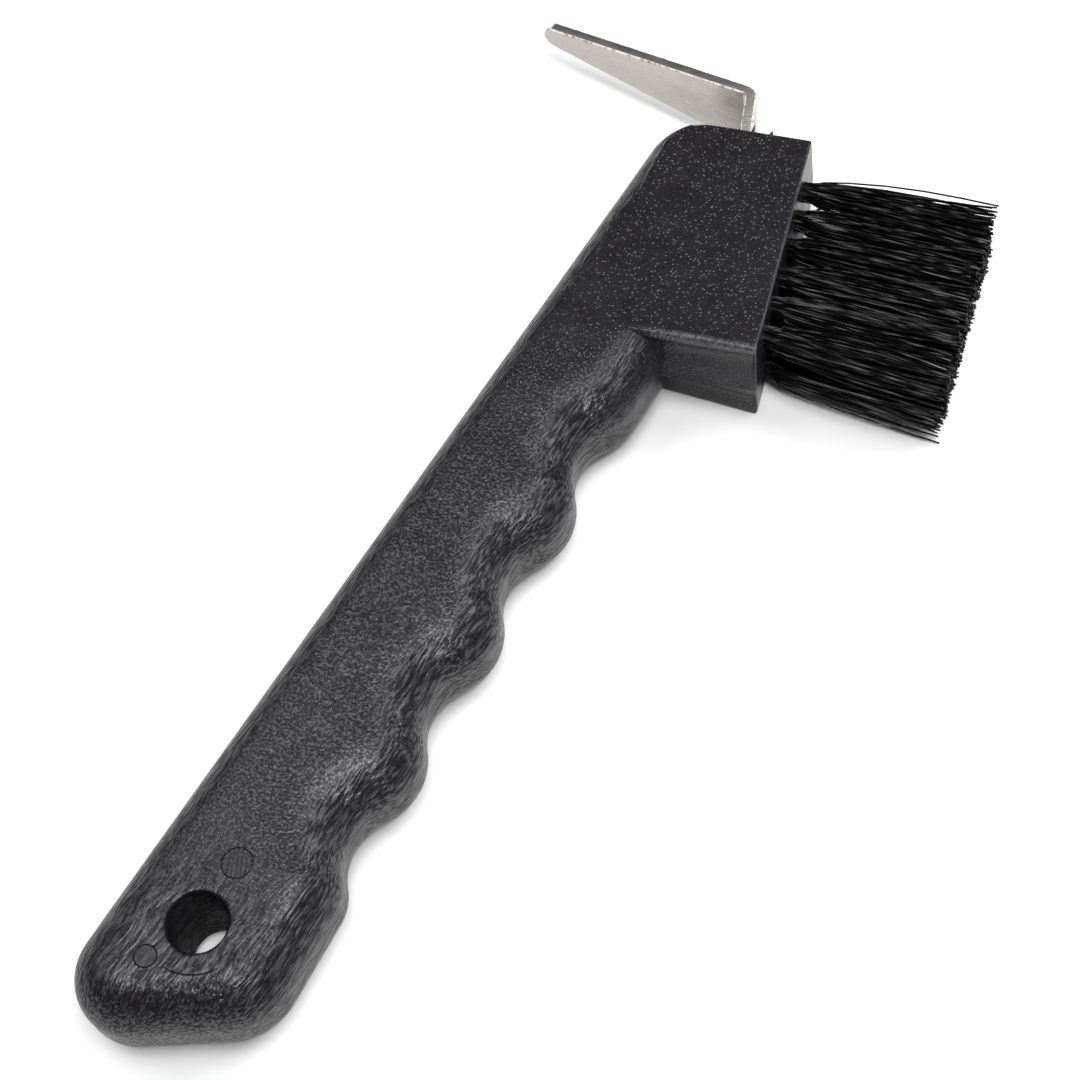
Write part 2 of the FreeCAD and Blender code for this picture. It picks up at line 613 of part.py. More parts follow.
os.makedirs("parts", exist_ok=True)
for node in [handle, blade, *tufts, *anchors]:
    shape = node.Shape
    if shape.isNull() or not shape.isValid() or len(shape.Solids) != 1:
        raise RuntimeError(f"{node.Label} is not one valid solid")
    shape.exportStep(f"parts/{node.Label}.step")
    print(f"{node.Label}: {shape.Volume:.1f} mm3")
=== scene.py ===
import math

import bmesh
import bpy
import numpy as np
from mathutils import Matrix, Vector


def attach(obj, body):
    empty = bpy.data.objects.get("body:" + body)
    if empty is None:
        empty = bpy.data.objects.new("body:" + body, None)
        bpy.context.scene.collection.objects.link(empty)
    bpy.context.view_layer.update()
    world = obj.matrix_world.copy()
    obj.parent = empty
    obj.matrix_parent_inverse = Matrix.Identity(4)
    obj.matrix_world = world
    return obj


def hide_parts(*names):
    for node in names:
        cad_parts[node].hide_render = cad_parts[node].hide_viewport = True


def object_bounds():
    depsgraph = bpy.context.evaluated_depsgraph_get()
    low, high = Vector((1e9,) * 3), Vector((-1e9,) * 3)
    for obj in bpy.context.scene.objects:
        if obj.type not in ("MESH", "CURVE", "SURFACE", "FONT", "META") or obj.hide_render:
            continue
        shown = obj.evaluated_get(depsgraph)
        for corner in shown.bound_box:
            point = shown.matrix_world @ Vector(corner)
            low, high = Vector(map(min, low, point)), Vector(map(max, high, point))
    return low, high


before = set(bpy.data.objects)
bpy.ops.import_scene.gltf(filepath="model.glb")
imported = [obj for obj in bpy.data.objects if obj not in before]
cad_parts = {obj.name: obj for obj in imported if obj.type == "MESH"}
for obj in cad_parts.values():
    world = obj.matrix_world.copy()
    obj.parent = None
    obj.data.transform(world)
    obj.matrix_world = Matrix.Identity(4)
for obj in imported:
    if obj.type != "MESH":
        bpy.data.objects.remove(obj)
cad_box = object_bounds()

# ---------------------------------------------------------------------------------------------
# Grip. The lower part of the one-piece moulding, in black polypropylene: a straight spine, four
# finger crests, a palm swell and a hanging hole. The mould closes on the plane z = 0. Sizes are
# millimetres, and a point of the plan outline is a complex number, x + iy.
# ---------------------------------------------------------------------------------------------
MM = 0.001
END_HALF_THICKNESS = 7.9
FACE_TAPER = math.tan(math.radians(0.28))
SIDE_ROUND = 6.3
FINGER_ROUND = 8.6
HOLE_RADIUS = 4.0
HOLE_RIM = 0.7
BACK_HOLE_RIM = 1.4
SPINE_X = -13.3
HEEL_LEFT = complex(SPINE_X + 8.1, -8.848), 8.1
HEEL_RIGHT = complex(3.45, -1.15), 10.0
PALM_LEAN = 3.5
SHOULDER_Y = 11.0
SHOULDER_RADIUS = 7.0
CREST_RADIUS = 9.6
VALLEY_RADIUS = 8.6
FIRST_CREST = complex(11.7, 31.5)
NEXT_CREST = complex(-1.23, 22.0)
NECK_LEAN = 2.0
FACE_LEAN = 16.0
BLOCK_ROOT = complex(2.88, 105.77)
BLOCK_REACH = 18.86
BRUSH_FACE = 40.3
HEAD_CORNER = 6.35
TOP_LEAN = 14.3
INNER_CORNER = 7.0
SEAM_LOW = 7.5
SEAM_HIGH = 118.0
SEAM_FOOT = complex(-0.82, 4.63)
SEAM_BEND = complex(-4.5, 22.0)
HEAD_MIDDLE = complex(-4.0, SEAM_HIGH)
HEAD_ROUND = 1.2


def turned(degrees):
    """The unit number e^(i angle): a direction in the plan."""
    return complex(math.cos(math.radians(degrees)), math.sin(math.radians(degrees)))


OUT = turned(FACE_LEAN)
UP = OUT * 1j
FACE_BOTTOM = BLOCK_ROOT + OUT * BLOCK_REACH
FACE_TOP = FACE_BOTTOM + UP * BRUSH_FACE


def face_height(plan):
    """Front face over the parting plane: half the end's thickness, plus y times the taper."""
    return END_HALF_THICKNESS + np.imag(plan) * FACE_TAPER


def meet(point_a, way_a, point_b, way_b):
    """Where two straight lines cross, from the ratio of two cross products."""
    ratio = (np.conj(point_b - point_a) * way_b).imag / (np.conj(way_a) * way_b).imag
    return point_a + way_a * ratio


def valley_center(low, low_radius, high, high_radius):
    """Centre of the circle that touches two crests: the corner of a triangle whose sides are known."""
    way = high - low
    reach_low = low_radius + VALLEY_RADIUS
    reach_high = high_radius + VALLEY_RADIUS
    along = (abs(way) ** 2 + reach_low ** 2 - reach_high ** 2) / (2 * abs(way))
    aside = math.sqrt(reach_low ** 2 - along ** 2)
    return low + way / abs(way) * complex(along, -aside)


def arc_run(center, radius, start, end, step=0.45):
    """Points at centre + radius e^(i angle), with outward normals. A negative radius is a valley."""
    count = max(4, round(abs(radius * math.radians(end - start)) / step))
    turn = np.exp(1j * np.radians(np.linspace(start, end, count, endpoint=False)))
    return center + abs(radius) * turn, turn * np.sign(radius)


def line_run(start, end, step=0.9):
    """Even points along a straight run, with the outside on its right."""
    count = max(2, round(abs(end - start) / step))
    share = np.linspace(0, 1, count, endpoint=False)
    normal = (end - start) / abs(end - start) * -1j
    return start + (end - start) * share, np.full(count, normal)


def bearing(way):
    """The angle of a direction in the plan, in degrees."""
    return math.degrees(math.atan2(way.imag, way.real))


def grip_outline():
    """The closed outline, counter-clockwise from the top of the spine, as tangent arcs and lines."""
    left, left_radius = HEEL_LEFT
    right, right_radius = HEEL_RIGHT
    lean_in = math.asin((left_radius - right_radius) / abs(right - left))
    heel = bearing(right - left) + math.degrees(lean_in)
    palm = turned(PALM_LEAN)
    palm_start = right + palm * right_radius
    palm_side = meet(palm_start, palm * 1j, SHOULDER_Y * 1j + palm * SHOULDER_RADIUS, 1)
    swells = [(palm_side - palm * SHOULDER_RADIUS, SHOULDER_RADIUS)]
    swells += [(FIRST_CREST - CREST_RADIUS + n * NEXT_CREST, CREST_RADIUS) for n in range(4)]
    neck = turned(NECK_LEAN)
    neck_start = swells[-1][0] + neck * CREST_RADIUS
    top = turned(TOP_LEAN + 90)
    inner = meet(neck_start - neck * INNER_CORNER, neck * 1j, FACE_TOP - top * INNER_CORNER, top * -1j)
    head = meet(SPINE_X + HEAD_CORNER + 0j, 1j, FACE_TOP - top * HEAD_CORNER, top * -1j)
    down = turned(270 + heel)
    runs = [
        line_run(head - HEAD_CORNER, left - left_radius),
        arc_run(left, left_radius, 180, 270 + heel),
        line_run(left + down * left_radius, right + down * right_radius),
        arc_run(right, right_radius, heel - 90, PALM_LEAN),
        line_run(palm_start, palm_side),
    ]
    arrive = PALM_LEAN
    for (low, low_radius), (high, high_radius) in zip(swells, swells[1:]):
        valley = valley_center(low, low_radius, high, high_radius)
        runs.append(arc_run(low, low_radius, arrive, bearing(valley - low)))
        turns = bearing(low - valley) % 360, bearing(high - valley) % 360
        runs.append(arc_run(valley, -VALLEY_RADIUS, *turns))
        arrive = bearing(valley - high)
    runs += [
        arc_run(swells[-1][0], CREST_RADIUS, arrive, NECK_LEAN),
        line_run(neck_start, inner + neck * INNER_CORNER),
        arc_run(inner, INNER_CORNER, NECK_LEAN, TOP_LEAN + 90),
        line_run(inner + top * INNER_CORNER, head + top * HEAD_CORNER),
        arc_run(head, HEAD_CORNER, TOP_LEAN + 90, 180),
    ]
    return (np.concatenate([run[n] for run in runs]) for n in (0, 1))


def stations(plan, height):
    """Stacks plan points and heights into an array of x, y, z in metres."""
    height = np.broadcast_to(height, plan.shape)
    return np.stack([plan.real, plan.imag, height], axis=-1) * MM


def ring_faces(around, along, first=0):
    """Quads of a grid that is closed around: corners (a, b), (a + 1, b), (a + 1, b + 1), (a, b + 1)."""
    a, b = np.meshgrid(np.arange(around), np.arange(along - 1), indexing="ij")
    following = (a + 1) % around
    corners = [a * along + b, following * along + b, following * along + b + 1, a * along + b + 1]
    return first + np.stack([corner.ravel() for corner in corners], axis=-1)


def closed_mesh(name, grids):
    """One mesh from several ring grids. Points that coincide are welded, and faces turned outwards."""
    points = []
    faces = []
    first = 0
    for grid in grids:
        around, along = grid.shape[:2]
        points.append(grid.reshape(-1, 3))
        faces.append(ring_faces(around, along, first))
        first += around * along
    mesh = bpy.data.meshes.new(name)
    mesh.from_pydata(np.concatenate(points).tolist(), [], np.concatenate(faces).tolist())
    shell = bmesh.new()
    shell.from_mesh(mesh)
    bmesh.ops.remove_doubles(shell, verts=shell.verts, dist=2e-6)
    bmesh.ops.dissolve_degenerate(shell, dist=1e-7, edges=shell.edges)
    bmesh.ops.recalc_face_normals(shell, faces=shell.faces)
    shell.to_mesh(mesh)
    shell.free()
    return mesh


def grip_grids():
    """Front, back and hole of the grip.

    Each point of the outline is carried in along its normal, over a quarter of an ellipse whose width
    is greater on the finger side and small over the head's top, and then straight across the flat
    face to a seam that goes round the hole and up the middle.
    """
    plan, normal = grip_outline()
    fingers = (plan.real > HEAD_MIDDLE.real) & (plan.imag > SEAM_LOW) & (plan.imag < SEAM_HIGH)
    heights = plan.imag[fingers]
    spine = SPINE_X + 1j * heights[::-1]
    heel = plan.imag <= SEAM_LOW
    top = plan.imag >= SEAM_HIGH
    order = np.argsort(np.unwrap(np.angle(plan[top] - HEAD_MIDDLE)))
    top_plan, top_normal = plan[top][order], normal[top][order]
    plan_loop = np.concatenate([spine, plan[heel], plan[fingers], top_plan])
    normal_loop = np.concatenate([np.full(spine.size, -1 + 0j), normal[heel], normal[fingers], top_normal])
    heel_end = spine.size + heel.sum()
    number = np.arange(plan_loop.size)
    on_fingers = (number >= heel_end) & (number < heel_end + heights.size)
    finger_width = np.interp(plan_loop.imag, [14, 20, 98, 108],
                             [SIDE_ROUND, FINGER_ROUND, FINGER_ROUND, SIDE_ROUND])
    width = np.where(on_fingers, finger_width, SIDE_ROUND)
    top_turn = np.abs(np.degrees(np.angle(top_normal)))
    width[-top_plan.size:] = np.interp(top_turn, [TOP_LEAN + 90, 180], [HEAD_ROUND, SIDE_ROUND])
    inner = plan_loop - normal_loop * width
    seam_y = np.interp(heights, [SEAM_LOW, SEAM_HIGH], [SEAM_FOOT.imag, SEAM_HIGH])
    seam_x = np.interp(seam_y, [SEAM_FOOT.imag, SEAM_BEND.imag, SEAM_HIGH],
                       [SEAM_FOOT.real, SEAM_BEND.real, SEAM_BEND.real])
    middle = seam_x + 1j * seam_y
    heel_turn = np.unwrap(np.angle(inner[spine.size:heel_end]))
    ring_turn = np.interp(heel_turn, [heel_turn[0], heel_turn[-1]], np.radians([100, 460]))
    ring = np.exp(1j * ring_turn)
    curve = np.radians(np.linspace(0, 90, 15))[None, :]
    outer = plan_loop[:, None] - (normal_loop * width)[:, None] * (1 - np.cos(curve))
    rounding = stations(outer, face_height(outer) - SIDE_ROUND * (1 - np.sin(curve)))
    climb = np.linspace(0, 1, 4)[None, :-1]
    wall = plan_loop[:, None] + 0 * climb
    wall = stations(wall, (face_height(wall) - SIDE_ROUND) * climb)
    across = np.linspace(0, 1, 12)[None, 1:]
    rim_turn = np.radians(np.linspace(0, 90, 7))[None, :]
    grids = []
    for rim_radius, mirror in ((HOLE_RIM, 1), (BACK_HOLE_RIM, -1)):
        seam = np.concatenate([middle[::-1], (HOLE_RADIUS + rim_radius) * ring, middle,
                               np.full(top_plan.size, middle[-1])])
        flat = inner[:, None] + (seam - inner)[:, None] * across
        half = np.concatenate([wall, rounding, stations(flat, face_height(flat))], axis=1)
        rim = ring[:, None] * (HOLE_RADIUS + rim_radius * (1 - np.sin(rim_turn)))
        rim = stations(rim, face_height(rim) - rim_radius * (1 - np.cos(rim_turn)))
        bore = ring[:, None] * HOLE_RADIUS * np.ones((1, 5))
        bore = stations(bore, (face_height(bore) - rim_radius) * np.linspace(1, 0, 6)[None, 1:])
        hole = np.concatenate([rim, bore], axis=1)
        grids += [grid * np.array([1, 1, mirror]) for grid in (half, hole)]
    return grids


grip_mesh = closed_mesh("grip", grip_grids())

# ---------------------------------------------------------------------------------------------
# Brush block. The upper part of the same moulding: a square block with crisp edges. Its sides draft
# out to the parting line, and the lower side is hollowed a little under its raised front edge.
# Seventeen blind holes are drilled into its face for the tufts.
# ---------------------------------------------------------------------------------------------
LOWER_DRAFT = 1.4
FACE_DRAFT = 0.3
BLOCK_CORNER = 6.8
EDGE_INSET = 2.35
PARTING_INSET = 0.7
EDGE_FADE = 16.0
ROOT_OVERLAP = 4.0
SHARP_CORNER = 0.5
BLUNT_CORNER = 5.5
BACK_ROOT_RISE = 1.95
PROUD = 0.002
SUNK = 0.5
LIP_HEIGHT = 0.16
COVE = 0.9
CORNER_POINTS = 13
SIDE_POINTS = 40
TUFT_HOLE_RADIUS = 1.7
TUFT_HOLE_DEPTH = 6.0
ROW_PITCH = 5.56
FIRST_ROW = 6.5
COLUMN_SPACING = 3.8


def block_plan(flare, rise):
    """The block's outline at one height, as points, inward normals and a running side number.

    Each corner is an arc and each side a straight run, with the same number of points at every
    height. The side number is whole at a corner: 0 at the root, 1 and 2 at the brush face, 3 at the
    head's corner, and 4 where the block ends in the spine.
    """
    top_way = turned(TOP_LEAN)
    top_corner = FACE_TOP + (OUT + UP) * FACE_DRAFT * flare
    inset = EDGE_INSET + (PARTING_INSET - EDGE_INSET) * flare
    spine_side = SPINE_X + inset + 0j
    corner_center = meet(spine_side + BLOCK_CORNER, 1j, top_corner - top_way * 1j * BLOCK_CORNER, top_way)
    low = UP * -LOWER_DRAFT * flare
    corners = [
        (BLOCK_ROOT - OUT * ROOT_OVERLAP + low + UP * rise * (1 + ROOT_OVERLAP / BLOCK_REACH), SHARP_CORNER),
        (FACE_BOTTOM + OUT * FACE_DRAFT * flare + low, SHARP_CORNER),
        (top_corner, SHARP_CORNER),
        (meet(top_corner, top_way, spine_side, 1j), BLOCK_CORNER),
        (complex(spine_side.real + 0.8, corner_center.imag - EDGE_FADE), BLUNT_CORNER),
    ]
    points, normals, sides = [], [], []
    for n, (corner, radius) in enumerate(corners):
        before = (corners[n - 1][0] - corner) / abs(corners[n - 1][0] - corner)
        after_corner, after_radius = corners[(n + 1) % len(corners)]
        after = (after_corner - corner) / abs(after_corner - corner)
        opening = abs(np.angle(after / before))
        center = corner + (before + after) / abs(before + after) * radius / math.sin(opening / 2)
        start = np.angle(before * 1j)
        turn = np.exp(1j * np.linspace(start, start + math.pi - opening, CORNER_POINTS))
        points.append(center + radius * turn)
        normals.append(-turn)
        sides.append(n + np.linspace(-0.12, 0.12, CORNER_POINTS))
        following = corners[(n + 2) % len(corners)][0] - after_corner
        following /= abs(following)
        next_opening = abs(np.angle(following / -after))
        start_point = center + radius * turn[-1]
        end_point = after_corner - after * after_radius / math.tan(next_opening / 2)
        share = np.linspace(0, 1, SIDE_POINTS + 2)[1:-1]
        points.append(start_point + (end_point - start_point) * share)
        normals.append(np.full(share.size, after * 1j))
        sides.append(n + np.interp(share, [0, 1], [0.14, 0.86]))
    return (np.concatenate(part) for part in (points, normals, sides))


def block_grid(rise, height_sign):
    """Half of the block, from the parting line up its wall, over the edge and across the face.

    A wall leaves the edge upright and flares out to the parting line as a power of the distance. The
    cove takes a squared sine of the distance from it. The edge is a quarter circle, with the lip on
    it. Where the block ends inside the grip, its edge is sunk below the grip's face.
    """
    foot, _, side = block_plan(1, 0)
    edge, inward, _ = block_plan(0, rise)
    edge_radius = np.interp(side, [-0.2, 0.2, 0.6, 0.86, 1, 1.9, 2.1, 2.8, 3.1, 3.85, 4.2, 4.8],
                            [0.45, 0.85, 0.85, 0.6, 0.4, 0.4, 0.6, 0.8, 1.3, 3.1, 3.1, 0.45])
    power = np.interp(side, [0, 0.9, 1.1, 4, 4.9], [2.8, 2.8, 1.0, 1.0, 2.8])
    cove = COVE * np.interp(side, [-0.2, 0.0, 0.25, 0.6, 0.97, 1.05, 4.8],
                            [0.4, 0.8, 1.0, 0.8, 0.6, 0.0, 0.0])
    lip = LIP_HEIGHT * np.interp(side, [-0.2, 0.0, 0.25, 0.8, 0.95, 4.8], [0.0, 0.0, 1.0, 1.0, 0.0, 0.0])
    sunk = SUNK * np.interp(side, [-0.2, 0.0, 0.1, 4.3, 4.6, 4.8], [1, 1, 0, 0, 1, 1])
    climb = np.linspace(0, 1, 12)[None, :-1]
    flare = (1 - climb) ** power[:, None]
    hollow = cove[:, None] * np.sin(math.pi * climb ** 1.7) ** 2
    wall = edge[:, None] + (foot - edge)[:, None] * flare + inward[:, None] * hollow
    wall_height = (face_height(edge) - edge_radius)[:, None] * climb
    curve = np.radians(np.linspace(0, 90, 9))[None, :]
    round_plan = edge[:, None] + inward[:, None] * edge_radius[:, None] * (1 - np.cos(curve))
    round_height = face_height(round_plan) - edge_radius[:, None] * (1 - np.sin(curve))
    round_height += (PROUD + lip - sunk)[:, None] * np.sin(curve)
    inner = round_plan[:, -1]
    middle = inner.mean()
    across = np.array([0.02, 0.04, 0.06, 0.08, 0.1, 0.25, 0.5, 0.75, 1.0])[None, :]
    face = inner[:, None] + (middle - inner)[:, None] * across
    near = np.clip(1 - across / 0.1, 0, 1)
    dip = (sunk - lip)[:, None] * near ** 2 * (3 - 2 * near)
    grid = np.concatenate([
        stations(wall, wall_height), stations(round_plan, round_height),
        stations(face, face_height(face) + PROUD - dip),
    ], axis=1)
    return grid * np.array([1, 1, height_sign])


block_mesh = closed_mesh("block", [block_grid(0, 1), block_grid(BACK_ROOT_RISE, -1)])


def tuft_places():
    """Each tuft's name, the plan and height of its hole's mouth, and its share of the way to the last row."""
    for column, height in ((1, COLUMN_SPACING), (2, 0.0), (3, -COLUMN_SPACING)):
        for row in range(5 if column == 2 else 6):
            run = row + (0.5 if column == 2 else 0.0)
            mouth = FACE_TOP - UP * (FIRST_ROW + run * ROW_PITCH)
            yield f"r{row + 1}_c{column}", mouth, height, run / 5


def drill_mesh():
    """Closed tubes: a circle square to the brush face, carried from outside it to the hole's bottom."""
    turn = np.linspace(0, 2 * math.pi, 32, endpoint=False)
    depth = np.array([2.0, 2.0, -TUFT_HOLE_DEPTH, -TUFT_HOLE_DEPTH])
    radius = np.array([0.0, 1.0, 1.0, 0.0]) * TUFT_HOLE_RADIUS
    grids = []
    for _, mouth, height, _ in tuft_places():
        plan = mouth + OUT * depth[None, :] + UP * radius[None, :] * np.cos(turn)[:, None]
        grids.append(stations(plan, height + radius[None, :] * np.sin(turn)[:, None]))
    return closed_mesh("drill", grids)


def cut_away(mesh, cutter_mesh):
    """The mesh with the cutter's volume taken out of it."""
    body = bpy.data.objects.new("cut_body", mesh)
    cutter = bpy.data.objects.new("cutter", cutter_mesh)
    for item in (body, cutter):
        bpy.context.scene.collection.objects.link(item)
    cut = body.modifiers.new("cut", "BOOLEAN")
    cut.operation = "DIFFERENCE"
    cut.solver = "EXACT"
    cut.object = cutter
    bpy.context.view_layer.update()
    result = bpy.data.meshes.new_from_object(body.evaluated_get(bpy.context.evaluated_depsgraph_get()))
    for item in (body, cutter):
        bpy.data.objects.remove(item)
    return result


drilled_mesh = cut_away(block_mesh, drill_mesh())


def joined_piece(name, meshes, material, crease=32):
    """One object from several meshes, shaded smooth up to the crease angle."""
    joined = bmesh.new()
    for mesh in meshes:
        joined.from_mesh(mesh)
    mesh = bpy.data.meshes.new(name)
    joined.to_mesh(mesh)
    joined.free()
    mesh.materials.clear()
    mesh.materials.append(material)
    mesh.shade_smooth()
    mesh.set_sharp_from_angle(angle=math.radians(crease))
    piece = bpy.data.objects.new(name, mesh)
    bpy.context.scene.collection.objects.link(piece)
    return piece


class Finish:
    """A material with one Principled shader, and short ways to add nodes that vary it over a piece.

    A source is a pair of a node and the name of its output. A Mix node has its share on input 0, its
    numbers on inputs 2 and 3 with output 0, and its colours on inputs 6 and 7 with output 2.
    """

    def __init__(self, name, color, roughness, metallic=0.0):
        self.material = bpy.data.materials.new(name)
        self.material.use_nodes = True
        self.tree = self.material.node_tree
        self.sockets = self.tree.nodes["Principled BSDF"].inputs
        self.sockets["Base Color"].default_value = (*color, 1)
        self.sockets["Roughness"].default_value = roughness
        self.sockets["Metallic"].default_value = metallic

    def set(self, socket, value):
        """Sets an input from a source, a number, three numbers, or a colour without its alpha."""
        if isinstance(value, tuple) and isinstance(value[0], bpy.types.Node):
            self.tree.links.new(value[0].outputs[value[1]], socket)
        elif isinstance(value, tuple) and socket.type == "RGBA":
            socket.default_value = (*value, 1)
        else:
            socket.default_value = value

    def node(self, kind, **values):
        """A node with its settings. A value goes to the input of that name, or to the node itself."""
        node = self.tree.nodes.new(kind)
        for name, value in values.items():
            if name in node.inputs.keys():
                self.set(node.inputs[name], value)
            else:
                setattr(node, name, value)
        return node

    def math(self, operation, *values):
        """Arithmetic on sources and numbers."""
        node = self.node("ShaderNodeMath", operation=operation)
        for socket, value in zip(node.inputs, values):
            self.set(socket, value)
        return node, "Value"

    def vector(self, operation, *values):
        """Arithmetic on vectors. A dot product, a length and a distance give a number."""
        node = self.node("ShaderNodeVectorMath", operation=operation)
        for socket, value in zip(node.inputs, values):
            self.set(socket, value)
        return node, "Value" if operation in ("DOT_PRODUCT", "LENGTH", "DISTANCE") else "Vector"

    def ramp(self, source, low, high, to_low=0.0, to_high=1.0):
        """A smooth step of a source, from one level to another between two values."""
        node = self.node("ShaderNodeMapRange", interpolation_type="SMOOTHSTEP", Value=source)
        for name, value in (("From Min", low), ("From Max", high), ("To Min", to_low), ("To Max", to_high)):
            node.inputs[name].default_value = value
        return node, "Result"

    def coordinates(self):
        """A point's place on the piece, its x, y and z apart, and the same for the way its face points."""
        where = self.node("ShaderNodeTexCoord")
        place = self.node("ShaderNodeSeparateXYZ", Vector=(where, "Object"))
        facing = self.node("ShaderNodeSeparateXYZ", Vector=(where, "Normal"))
        return (where, "Object"), place, facing

    def noise(self, source, scale, detail, turn=0.0):
        """Noise of a scale per metre. Three scales draw its grains out along axes turned about Z."""
        if isinstance(scale, tuple):
            mapping = self.node("ShaderNodeMapping", Vector=source, Scale=scale, Rotation=(0, 0, turn))
            source, scale = (mapping, "Vector"), 1.0
        return self.node("ShaderNodeTexNoise", Vector=source, Scale=scale, Detail=detail), "Fac"

    def blend(self, share, low, high):
        """A mix of two numbers."""
        node = self.node("ShaderNodeMix", data_type="FLOAT")
        for n, value in ((0, share), (2, low), (3, high)):
            self.set(node.inputs[n], value)
        return node, 0

    def mix(self, share, low, high):
        """A mix of two colours."""
        node = self.node("ShaderNodeMix", data_type="RGBA")
        for n, value in ((0, share), (6, low), (7, high)):
            self.set(node.inputs[n], value)
        return node, 2

    def bump(self, height, depth, under=None, invert=False):
        """A bump of a depth in metres, on top of another one."""
        node = self.node("ShaderNodeBump", Strength=1.0, Distance=depth, Height=height, invert=invert)
        if under:
            self.set(node.inputs["Normal"], under)
        return node, "Normal"


# The mould is spark-eroded. It leaves small raised specks on the flats, and strokes along the grip
# where the sides turn away and round the heel. Two core pins left round witness marks on the front.
BLACK = 0.0085, 0.0075, 0.01
GRAIN_GLINT_SKIN = 0.08, 0.077, 0.086
EDGE_HIGHLIGHT_SKIN = 0.11, 0.107, 0.115
SPECK_SCALE = 1950.0
FINE_SCALE = 2400.0
STROKE_SCALE = 2600.0, 380.0, 2600.0
WARP_SCALE = 160.0
WARP_REACH = 0.0016
PATCH_SCALE = 420.0
WAVE_SCALE = 110.0
GRAIN_DEPTH = 0.00007
MARK_DEPTH = 0.00011
WAVE_DEPTH = 0.0005
UPPER_PIN = -0.12 + 9.1j, 2.1
LOWER_PIN = -3.24 - 7.0j, 1.5
PIN_GROOVE = 0.12
HOLE_RING = 7.0
RING_GROOVE = 0.15
PIN_LINE_PITCH = 0.0006
WRINKLE_PITCH = 0.00065

plastic = Finish("moulded_black", (0.009, 0.008, 0.0105), 0.34)
here, place, facing = plastic.coordinates()
steepness = plastic.math("ABSOLUTE", (facing, "Z"))
near_heel = plastic.ramp((place, "Y"), 0.02, -0.004, 0.0, 0.85)
strokes = plastic.math("MAXIMUM", plastic.ramp(steepness, 0.995, 0.88), near_heel)
on_head = plastic.ramp((place, "Y"), 0.085, 0.112)

# Specks: spots round the points of a Voronoi pattern, of random strength.
spots = plastic.node("ShaderNodeTexVoronoi", Vector=here, feature="F1", Scale=SPECK_SCALE)
spot_shape = plastic.ramp((spots, "Distance"), 0.36, 0.1)
spot_random = plastic.node("ShaderNodeSeparateXYZ", Vector=(spots, "Color"))
specks = plastic.math("MULTIPLY", spot_shape, plastic.ramp((spot_random, "X"), 0.0, 0.9))
fine = plastic.noise(here, FINE_SCALE, 2.0)
fine_share = plastic.ramp(on_head, 0.0, 1.0, 2.0, 0.4)
grain = plastic.math("MULTIPLY_ADD", fine, fine_share, plastic.math("MULTIPLY", specks, 0.9))

# Strokes: noise drawn out along the grip and warped by a slower noise. The block has hardly any.
warp, _ = plastic.noise(here, WARP_SCALE, 1.0)
warp_shift = plastic.node("ShaderNodeVectorMath", operation="SCALE", Vector=(warp, "Color"), Scale=WARP_REACH)
warped = plastic.vector("ADD", here, (warp_shift, "Vector"))
stroke = plastic.noise(warped, STROKE_SCALE, 2.0)
on_block = plastic.math("MULTIPLY", plastic.ramp((place, "X"), 0.003, 0.007), on_head)
stroke_share = plastic.math("MULTIPLY", strokes, plastic.math("MULTIPLY_ADD", on_block, -0.7, 0.85))
texture = plastic.blend(stroke_share, grain, plastic.math("MULTIPLY", stroke, 4.2))


def ring_mark(center, radius, width):
    """A groove round a circle on the front: one minus the distance to the circle over its width."""
    offset = plastic.vector("SUBTRACT", here, (center.real * MM, center.imag * MM, 0))
    flat_offset = plastic.vector("MULTIPLY", offset, (1, 1, 0))
    from_circle = plastic.math("SUBTRACT", plastic.vector("LENGTH", flat_offset), radius * MM)
    groove = plastic.ramp(plastic.math("ABSOLUTE", from_circle), width * MM, 0.0)
    front = plastic.math("GREATER_THAN", (place, "Z"), 0.005)
    inside = plastic.math("MULTIPLY", plastic.math("LESS_THAN", from_circle, 0.0), front)
    return plastic.math("MULTIPLY", groove, front), inside


# The pin marks are calmer inside, the upper one has fine lines across it, and an arc of a wider
# ring shows below the hole.
upper_groove, in_upper = ring_mark(*UPPER_PIN, PIN_GROOVE)
lower_groove, in_lower = ring_mark(*LOWER_PIN, PIN_GROOVE)
hole_groove, _ = ring_mark(0j, HOLE_RING, RING_GROOVE)
below_hole = plastic.ramp(plastic.vector("DOT_PRODUCT", here, (0.47, -0.88, 0)), 0.0056, 0.0068)
hole_groove = plastic.math("MULTIPLY", hole_groove, below_hole)
marks = plastic.math("MAXIMUM", plastic.math("MAXIMUM", upper_groove, lower_groove), hole_groove)
in_pins = plastic.math("MAXIMUM", in_lower, in_upper)
calmer = plastic.math("MULTIPLY_ADD", in_pins, -0.65, 1.0)
height = plastic.math("MULTIPLY", texture, calmer)
across_pin = plastic.vector("DOT_PRODUCT", here, (0.88, 0.47, 0))
pin_lines = plastic.math("SINE", plastic.math("MULTIPLY", across_pin, 2 * math.pi / PIN_LINE_PITCH))
pin_lines = plastic.math("MULTIPLY", pin_lines, in_upper)
height = plastic.math("MULTIPLY_ADD", pin_lines, 0.5, height)

# Flow wrinkles: rings at the root of the block's lower side.
patches = plastic.noise(here, PATCH_SCALE, 2.0)
root_point = (BLOCK_ROOT + OUT * 2.0) * MM
from_root = plastic.vector("DISTANCE", here, (root_point.real, root_point.imag, 0.0078))
rings = plastic.math("MULTIPLY", from_root, 2 * math.pi / WRINKLE_PITCH)
rings = plastic.math("SINE", plastic.math("MULTIPLY_ADD", patches, 9.0, rings))
near_root = plastic.math("MULTIPLY", plastic.ramp(from_root, 0.007, 0.003), plastic.ramp(steepness, 0.6, 0.3))
height = plastic.math("MULTIPLY_ADD", plastic.math("MULTIPLY", rings, near_root), 0.4, height)

